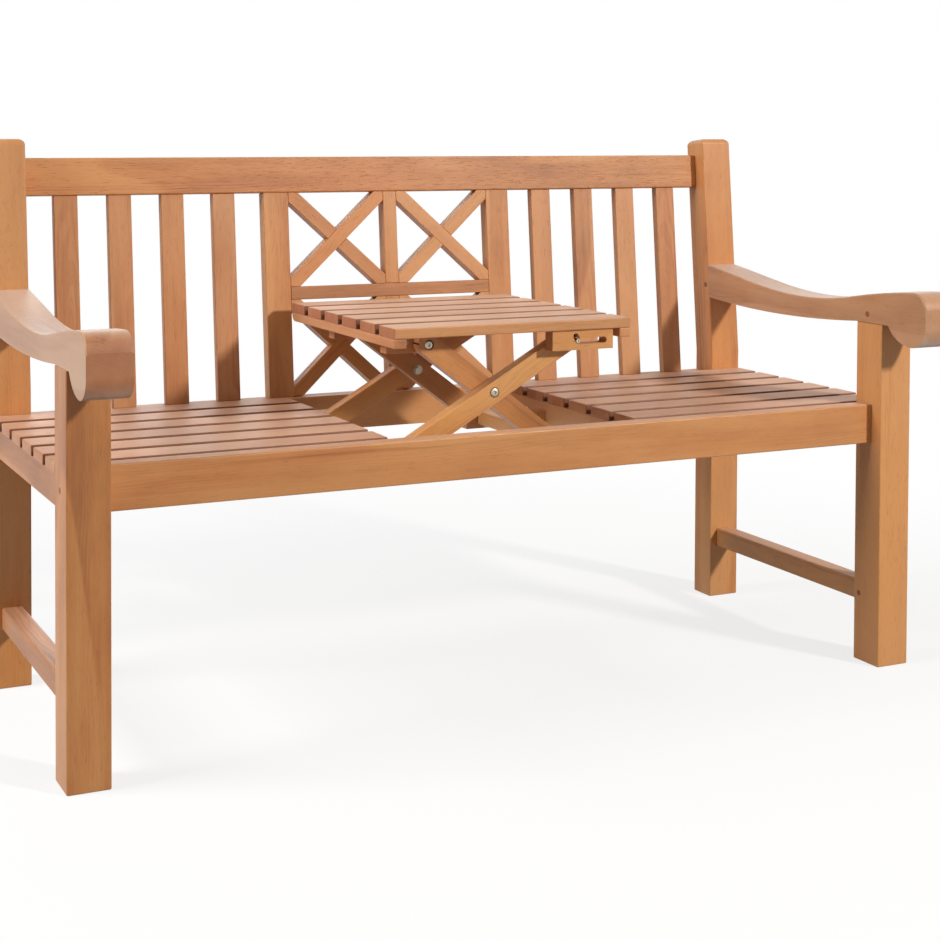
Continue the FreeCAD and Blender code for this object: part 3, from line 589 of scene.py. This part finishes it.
def random_share(sheet, seed):
    """A number from 0 to 1 for each point, from the node's second output, which is the plain number."""
    return sheet.node("FunctionNodeRandomValue", {"data_type": "FLOAT"}, {"Seed": seed}, output=1)


# Rows of slats, made by one geometry tree
LOG_SHIFT = 0.08


def slat_row_tree():
    """Copies one finished slat along a row and gives each copy its own place in the log."""
    sheet, given = geometry_tree("slat_row", [("Slat", "Geometry"), ("Count", "Int"), ("Step", "Vector"),
                                              ("Seed", "Int"), ("Finish", "Material")])

    def stored(geometry, name, kind, domain, value):
        return sheet.node("GeometryNodeStoreNamedAttribute", {"data_type": kind, "domain": domain},
                          {"Geometry": geometry, "Name": name, "Value": value})

    line = sheet.node("GeometryNodeMeshLine", {}, {"Count": given["Count"], "Offset": given["Step"]})
    row = sheet.node("GeometryNodeInstanceOnPoints", {}, {"Points": line, "Instance": given["Slat"]})
    log_place = sheet.node("FunctionNodeRandomValue", {"data_type": "FLOAT_VECTOR"},
                           {"Min": (0, -LOG_SHIFT, -LOG_SHIFT), "Max": (TRUNK_LENGTH, LOG_SHIFT, LOG_SHIFT),
                            "Seed": given["Seed"]})
    row = stored(row, "log_place", "FLOAT_VECTOR", "INSTANCE", log_place)
    row = stored(row, "board", "FLOAT", "INSTANCE", random_share(sheet, given["Seed"] + 7))
    row = sheet.node("GeometryNodeRealizeInstances", {}, {"Geometry": row})
    moved = sheet.node("ShaderNodeVectorMath", {"operation": "ADD"},
                       {0: named_vector(sheet, "grain"), 1: named_vector(sheet, "log_place")})
    row = stored(row, "grain", "FLOAT_VECTOR", "POINT", moved)
    row = sheet.node("GeometryNodeSetMaterial", {}, {"Geometry": row, "Material": given["Finish"]})
    sheet.finish("NodeGroupOutput", row)
    return sheet.tree


SLAT_ROW = slat_row_tree()


def slat_blank(low, high):
    """One slat as a block between two corners."""
    work = bmesh.new()
    bmesh.ops.create_cube(work, size=1.0)
    bmesh.ops.scale(work, vec=high - low, verts=work.verts)
    bmesh.ops.translate(work, vec=(low + high) / 2, verts=work.verts)
    mesh = bpy.data.meshes.new("slat")
    work.to_mesh(mesh)
    work.free()
    return mesh


def mark_painted_gap_shade(mesh, open_ends):
    """Give the long edges of slats that face a gap the attribute between, which paints shade on them."""
    mesh.attributes.new("between", "FLOAT", "FACE")
    between = mesh.attributes["between"]
    front = min(vertex.co.y for vertex in mesh.vertices)
    rear = max(vertex.co.y for vertex in mesh.vertices)
    end_reach = 3 * MM
    for polygon in mesh.polygons:
        at_end = polygon.center.y < front + end_reach or polygon.center.y > rear - end_reach
        faces_a_neighbour = abs(polygon.normal.y) > 0.5
        shaded = faces_a_neighbour and not (open_ends and at_end)
        between.data[polygon.index].value = float(shaded)


SLAT_EASE = 2.0 * MM


def slat_row(name, low, high, count, step, seed, material, body, nodes, open_ends=False,
             end_shade=USUAL_END_SHADE):
    """A row of equal slats that starts with the block between low and high."""
    piece = new_piece(name, slat_blank(low, high), material)
    ease_edges(piece, SLAT_EASE)
    mark_grain(as_plain_mesh(piece), end_shade=end_shade)
    modifier = piece.modifiers.new("row", "NODES")
    modifier.node_group = SLAT_ROW
    set_inputs(modifier, {"Count": count, "Step": step, "Seed": seed, "Finish": material})
    normals = piece.modifiers.new("normals", "WEIGHTED_NORMAL")
    normals.weight = FLAT_FACES_LEAD
    mark_painted_gap_shade(as_plain_mesh(piece), open_ends)
    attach(piece, body)
    if nodes:
        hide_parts(*nodes)


def seat_slats():
    """The seat sections: five equal slats each, and a narrower one at the rear."""
    for seed, side in enumerate(("left", "right")):
        node = "seat_slats_" + side
        boxes = solid_boxes(node)
        step = boxes[1][0] - boxes[0][0]
        slat_row("seat_row_" + side, boxes[0][0], boxes[0][1], len(boxes) - 1, step, 21 + seed, teak_slat,
                 "frame", [node])
        slat_row("seat_rear_slat_" + side, boxes[-1][0], boxes[-1][1], 1, step, 41 + seed, teak_slat,
                 "frame", [])


def table_slats():
    """The table's six equal slats, whose outer edges are open to the light."""
    nodes = ["table_slat_%d" % (i + 1) for i in range(6)]
    low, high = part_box(nodes[0])
    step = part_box(nodes[1])[0] - low
    # Strong end darkening on the table slats: partly their end grain, partly painted shade on the table's
    # left end.
    slat_row("table_top_slats", low, high, len(nodes), step, 5, teak_table, "table", nodes,
             open_ends=True, end_shade=0.9)


seat_slats()
table_slats()
for side in ("left", "right"):
    for number in range(1, 5):
        timber("back_slat_%s_%d" % (side, number), teak_slat, ease=1.5 * MM)

# Hardware: turned pieces that one geometry tree sets in their holes
ROUND, SIX, CROSS = "round", "six", "cross"
TURN_STEPS = 24


def reach_of(shape, angle):
    """How far a ring of this shape reaches at an angle, as a share of its radius."""
    if shape == SIX:
        sixth = math.pi / 3
        return math.cos(sixth / 2) / math.cos(angle % sixth - sixth / 2)
    if shape == CROSS:
        return 0.38 + 0.62 * abs(math.cos(2 * angle)) ** 6
    return 1.0


def turn_rings(work, rings, closed=False):
    """Skin a row of rings (radius, height, shape); a closed row is a ring-shaped piece like a washer."""
    loops = []
    for radius, height, shape in rings:
        loop = []
        for step in range(TURN_STEPS):
            angle = 2 * math.pi * step / TURN_STEPS
            reach = radius * reach_of(shape, angle)
            loop.append(work.verts.new((reach * math.cos(angle), reach * math.sin(angle), height)))
        loops.append(loop)
    pairs = list(zip(loops, loops[1:]))
    if closed:
        pairs.append((loops[-1], loops[0]))
    for lower, upper in pairs:
        for step in range(TURN_STEPS):
            after = (step + 1) % TURN_STEPS
            work.faces.new((lower[step], lower[after], upper[after], upper[step]))
    if not closed:
        work.faces.new(list(reversed(loops[0])))
        work.faces.new(loops[-1])


def fastener_tree():
    """Sets a copy of one fastener at every point, along the direction that the point faces."""
    sheet, given = geometry_tree("fasteners", [("Spots", "Geometry"), ("Fastener", "Object"),
                                               ("Seed", "Int"), ("Finish", "Material")])
    shape = sheet.node("GeometryNodeObjectInfo", {}, {"Object": given["Fastener"]}, output="Geometry")
    facing = named_vector(sheet, "facing")
    aim = sheet.node("FunctionNodeAlignRotationToVector", {"axis": "Z"}, {"Vector": facing})
    twist = random_share(sheet, given["Seed"])
    spin = sheet.node("FunctionNodeAxisAngleToRotation", {}, {"Axis": (0, 0, 1), "Angle": twist})
    aim = sheet.node("FunctionNodeRotateRotation", {"rotation_space": "LOCAL"},
                     {"Rotation": aim, "Rotate By": spin})
    made = sheet.node("GeometryNodeInstanceOnPoints", {},
                      {"Points": given["Spots"], "Instance": shape, "Rotation": aim})
    made = sheet.node("GeometryNodeRealizeInstances", {}, {"Geometry": made})
    made = sheet.node("GeometryNodeSetMaterial", {}, {"Geometry": made, "Material": given["Finish"]})
    sheet.finish("NodeGroupOutput", made)
    return sheet.tree


FASTENERS = fastener_tree()


def set_fasteners(node, shape, places, material, seed):
    """Copy one turned shape to each (point, facing) and let the result stand for a CAD node."""
    model = bpy.data.meshes.new(node + "_model")
    bmesh.ops.recalc_face_normals(shape, faces=shape.faces)
    shape.to_mesh(model)
    shape.free()
    pattern = new_piece(node + "_model", model, material)
    spots = bpy.data.meshes.new(node)
    spots.from_pydata([place for place, facing in places], [], [])
    spots.attributes.new("facing", "FLOAT_VECTOR", "POINT")
    for i, (place, facing) in enumerate(places):
        spots.attributes["facing"].data[i].vector = facing
    piece = new_piece("turned_" + node, spots, material)
    modifier = piece.modifiers.new("set", "NODES")
    modifier.node_group = FASTENERS
    set_inputs(modifier, {"Fastener": pattern, "Seed": seed, "Finish": material})
    mesh = as_plain_mesh(piece)
    bpy.data.objects.remove(pattern)
    for polygon in mesh.polygons:
        polygon.use_smooth = True
    mesh.set_sharp_from_angle(angle=math.radians(28))
    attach(piece, body_of[node])
    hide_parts(node)


SHANK_RADIUS = 4.0 * MM
SOCKET_RADIUS = 2.9 * MM
HEAD_HEIGHT = 3.5 * MM
SOCKET_DEPTH = 2.4 * MM
BREAK = 0.3 * MM  # the small slope that breaks a turned edge
# The round of a bolt's head, as shares of its radius and its height.
HEAD_PROFILE = ((1.0, 0.45), (0.94, 0.72), (0.80, 0.92), (0.62, 1.0))


def middle_of(boxes):
    """Half way between the front of the first solid and the rear of the last, along Y."""
    return (boxes[0][0].y + max(high.y for low, high in boxes)) / 2


def bolt_sets(node, seed):
    """Round-headed bolts with six-sided sockets, each with its washer and nut."""
    boxes = solid_boxes(node)
    bolt, *others = boxes[:len(boxes) // 2]
    washer, nut = sorted(others, key=lambda pair: pair[1].y - pair[0].y)
    x = (bolt[0].x + bolt[1].x) / 2
    z = (bolt[0].z + bolt[1].z) / 2
    seat_y = bolt[0].y + HEAD_HEIGHT
    head = (bolt[1].x - bolt[0].x) / 2
    shape = bmesh.new()
    tip = seat_y - bolt[1].y
    shank = [(SHANK_RADIUS - BREAK, tip, ROUND), (SHANK_RADIUS, tip + BREAK, ROUND),
             (SHANK_RADIUS, 0.0, ROUND)]
    brim = [(head - BREAK, 0.0, ROUND), (head, BREAK, ROUND)]
    round_head = [(wide * head, tall * HEAD_HEIGHT, ROUND) for wide, tall in HEAD_PROFILE]
    socket = [(SOCKET_RADIUS + BREAK, HEAD_HEIGHT, SIX), (SOCKET_RADIUS, HEAD_HEIGHT - BREAK, SIX),
              (SOCKET_RADIUS, HEAD_HEIGHT - SOCKET_DEPTH, SIX)]
    turn_rings(shape, shank + brim + round_head + socket)
    bore = SHANK_RADIUS + 0.1 * MM
    radius = (washer[1].x - washer[0].x) / 2
    low, high = seat_y - washer[1].y, seat_y - washer[0].y
    turn_rings(shape, [(bore, low, ROUND), (radius - BREAK, low, ROUND), (radius, low + BREAK, ROUND),
                       (radius, high - BREAK, ROUND), (radius - BREAK, high, ROUND), (bore, high, ROUND)],
               closed=True)
    radius = (nut[1].x - nut[0].x) / 2
    flat = 0.86 * radius
    low, high = seat_y - nut[1].y, seat_y - nut[0].y
    turn_rings(shape, [(bore, low, ROUND), (flat, low, ROUND), (radius, low + 2 * BREAK, SIX),
                       (radius, high - 2 * BREAK, SIX), (flat, high, ROUND), (bore, high, ROUND)],
               closed=True)
    places = [((x, seat_y, z), (0, -1, 0)), ((x, 2 * middle_of(boxes) - seat_y, z), (0, 1, 0))]
    set_fasteners(node, shape, places, zinc_plate, seed)


def rods(node, seed, recess=None, recess_radius=0.0):
    """Round pins, screws and rods along Y; a recess in the outer end takes the driver."""
    boxes = solid_boxes(node)
    low, high = boxes[0]
    radius, length = (high.x - low.x) / 2, high.y - low.y
    rings = [(radius - BREAK, -length, ROUND), (radius, BREAK - length, ROUND), (radius, -BREAK, ROUND),
             (radius - BREAK, 0.0, ROUND)]
    if recess:
        depth = 1.6 * MM
        rings += [(recess_radius, 0.0, recess), (0.9 * recess_radius, -depth, recess)]
    shape = bmesh.new()
    turn_rings(shape, rings)
    places = []
    for low, high in boxes:
        x, z = (low.x + high.x) / 2, (low.z + high.z) / 2
        if (low.y + high.y) / 2 < middle_of(boxes) + BREAK:
            places.append(((x, low.y, z), (0, -1, 0)))
        else:
            places.append(((x, high.y, z), (0, 1, 0)))
    set_fasteners(node, shape, places, zinc_plate, seed)


def dowels():
    """The plugs that close the joints, slightly domed, with the crown level with the wood."""
    boxes = solid_boxes("joint_plugs")
    low, high = boxes[0]
    radius, length = (high.z - low.z) / 2, high.x - low.x
    dome = 0.25 * MM
    outer_half_of_leg = 33 * MM
    shape = bmesh.new()
    turn_rings(shape, [(radius, -length, ROUND), (radius, -BREAK - dome, ROUND),
                       (radius - BREAK, -dome, ROUND), (0.7 * radius, -0.3 * dome, ROUND),
                       (0.3 * radius, 0.0, ROUND)])
    places = []
    for low, high in boxes:
        y, z = (low.y + high.y) / 2, (low.z + high.z) / 2
        # A plug shows on the face of its leg, post or arm that it reaches.
        middle = (low.x + high.x) / 2
        outer = abs(middle) > cad_box[1][0] - outer_half_of_leg
        to_right = (middle > 0) == outer
        places.append(((high.x if to_right else low.x, y, z), (1 if to_right else -1, 0, 0)))
    set_fasteners("joint_plugs", shape, places, dowel_end, 3)


for number, node in enumerate(("scissor_bolts", "leg_pivot_bolts", "table_bolts")):
    bolt_sets(node, 60 + number)
rods("top_pins", 64, SIX, 2.0 * MM)
rods("block_screws", 65, CROSS, 2.3 * MM)
rods("foot_rod", 66)
dowels()


# Floor, light and camera
def seen_directly(sheet):
    """1 for rays straight from the camera, off a gloss or through glass, and 0 for the rest."""
    rays = sheet.node("ShaderNodeLightPath").socket.node.outputs
    direct = Wire(sheet, rays["Is Camera Ray"]) + Wire(sheet, rays["Is Glossy Ray"])
    direct = direct + Wire(sheet, rays["Is Transmission Ray"])
    return sheet.node("ShaderNodeMath", {"operation": "MINIMUM"}, {0: direct, 1: 1.0})


def floor():
    """A pale floor that keeps the shadow and fades to white away from the bench."""
    mesh = bpy.data.meshes.new("floor")
    reach = 14.0
    mesh.from_pydata([(-reach, -reach, 0), (reach, -reach, 0), (reach, reach, 0), (-reach, reach, 0)], [],
                     [(0, 1, 2, 3)])
    material, sheet = new_material("pale_floor")
    where = sheet.node("ShaderNodeTexCoord", output="Object")
    distance = sheet.node("ShaderNodeVectorMath", {"operation": "LENGTH"}, {0: where}, output="Value")
    white_near, fade_from, fade_to = 0.76, 0.7, 2.2
    white = sheet.smooth(distance, fade_from, fade_to) * (1 - white_near) + white_near
    direct = seen_directly(sheet)
    # Seen directly the floor is near white; the light that it throws up under the seat is dimmer.
    pale = sheet.mix_colour(direct, (0.28, 0.28, 0.28, 1.0), (0.97, 0.97, 0.97, 1.0))
    diffuse = sheet.node("ShaderNodeBsdfDiffuse", {}, {"Color": pale})
    glow = sheet.node("ShaderNodeEmission", {}, {"Color": (1, 1, 1, 1), "Strength": 1.0})
    shader = sheet.node("ShaderNodeMixShader", {}, {0: white * direct, 1: diffuse, 2: glow})
    sheet.finish("ShaderNodeOutputMaterial", shader)
    ground = new_piece("floor", mesh, material)


def sky():
    """White behind the bench, and an even dim light on it."""
    world = bpy.data.worlds.new("studio")
    scene.world = world
    world.use_nodes = True
    world.node_tree.nodes.clear()
    sheet = Sheet(world.node_tree)
    ambient = 0.18
    strength = ambient + seen_directly(sheet) * (1 - ambient)
    shade = sheet.node("ShaderNodeBackground", {}, {"Color": (1, 1, 1, 1), "Strength": strength})
    sheet.finish("ShaderNodeOutputWorld", shade)


MIDDLE_OF_BENCH = Vector((0.0, 0.0, 0.5))


def soft_box(name, place, width, power, tint=(1.0, 1.0, 1.0)):
    """A square lamp that looks at the middle of the bench."""
    lamp = bpy.data.lights.new(name, "AREA")
    lamp.shape = "SQUARE"
    lamp.size = width
    lamp.energy = power
    lamp.color = tint
    holder = bpy.data.objects.new(name, lamp)
    scene.collection.objects.link(holder)
    aim = MIDDLE_OF_BENCH - Vector(place)
    holder.location = place
    holder.rotation_euler = aim.to_track_quat("-Z", "Y").to_euler()


def camera():
    """The photograph's viewpoint, found from the bench's straight edges and right angles."""
    front_of_legs = -0.2416
    eye = Vector((-1.3299, front_of_legs - 2.3458, 0.9374))
    yaw, pitch, roll = 0.423, 0.030, 0.003  # in radians
    focal_px, centre_x, centre_y, frame_px = 1714.7, 378.2, 180.6, 940
    ahead = Vector((math.sin(yaw) * math.cos(pitch), math.cos(yaw) * math.cos(pitch), -math.sin(pitch)))
    level = Vector((math.cos(yaw), -math.sin(yaw), 0.0))
    above = level.cross(ahead)
    right = math.cos(roll) * level + math.sin(roll) * above
    up = math.cos(roll) * above - math.sin(roll) * level
    data = bpy.data.cameras.new("photo_view")
    data.sensor_width = 36.0
    data.lens = data.sensor_width * focal_px / frame_px
    data.shift_x = (frame_px / 2 - centre_x) / frame_px
    data.shift_y = (centre_y - frame_px / 2) / frame_px
    holder = bpy.data.objects.new("photo_view", data)
    scene.collection.objects.link(holder)
    turned = Matrix((right, up, -ahead)).transposed().to_4x4()
    turned.translation = eye
    holder.matrix_world = turned
    scene.camera = holder


floor()
sky()
soft_box("key", (2.86, -4.45, 2.9), width=0.5, power=250, tint=(1.0, 0.97, 0.92))
soft_box("side", (-5.2, 0.3, 3.5), width=2.6, power=290)
soft_box("rear", (0.6, 4.6, 2.4), width=2.4, power=28)
camera()
scene.view_settings.view_transform = "Standard"
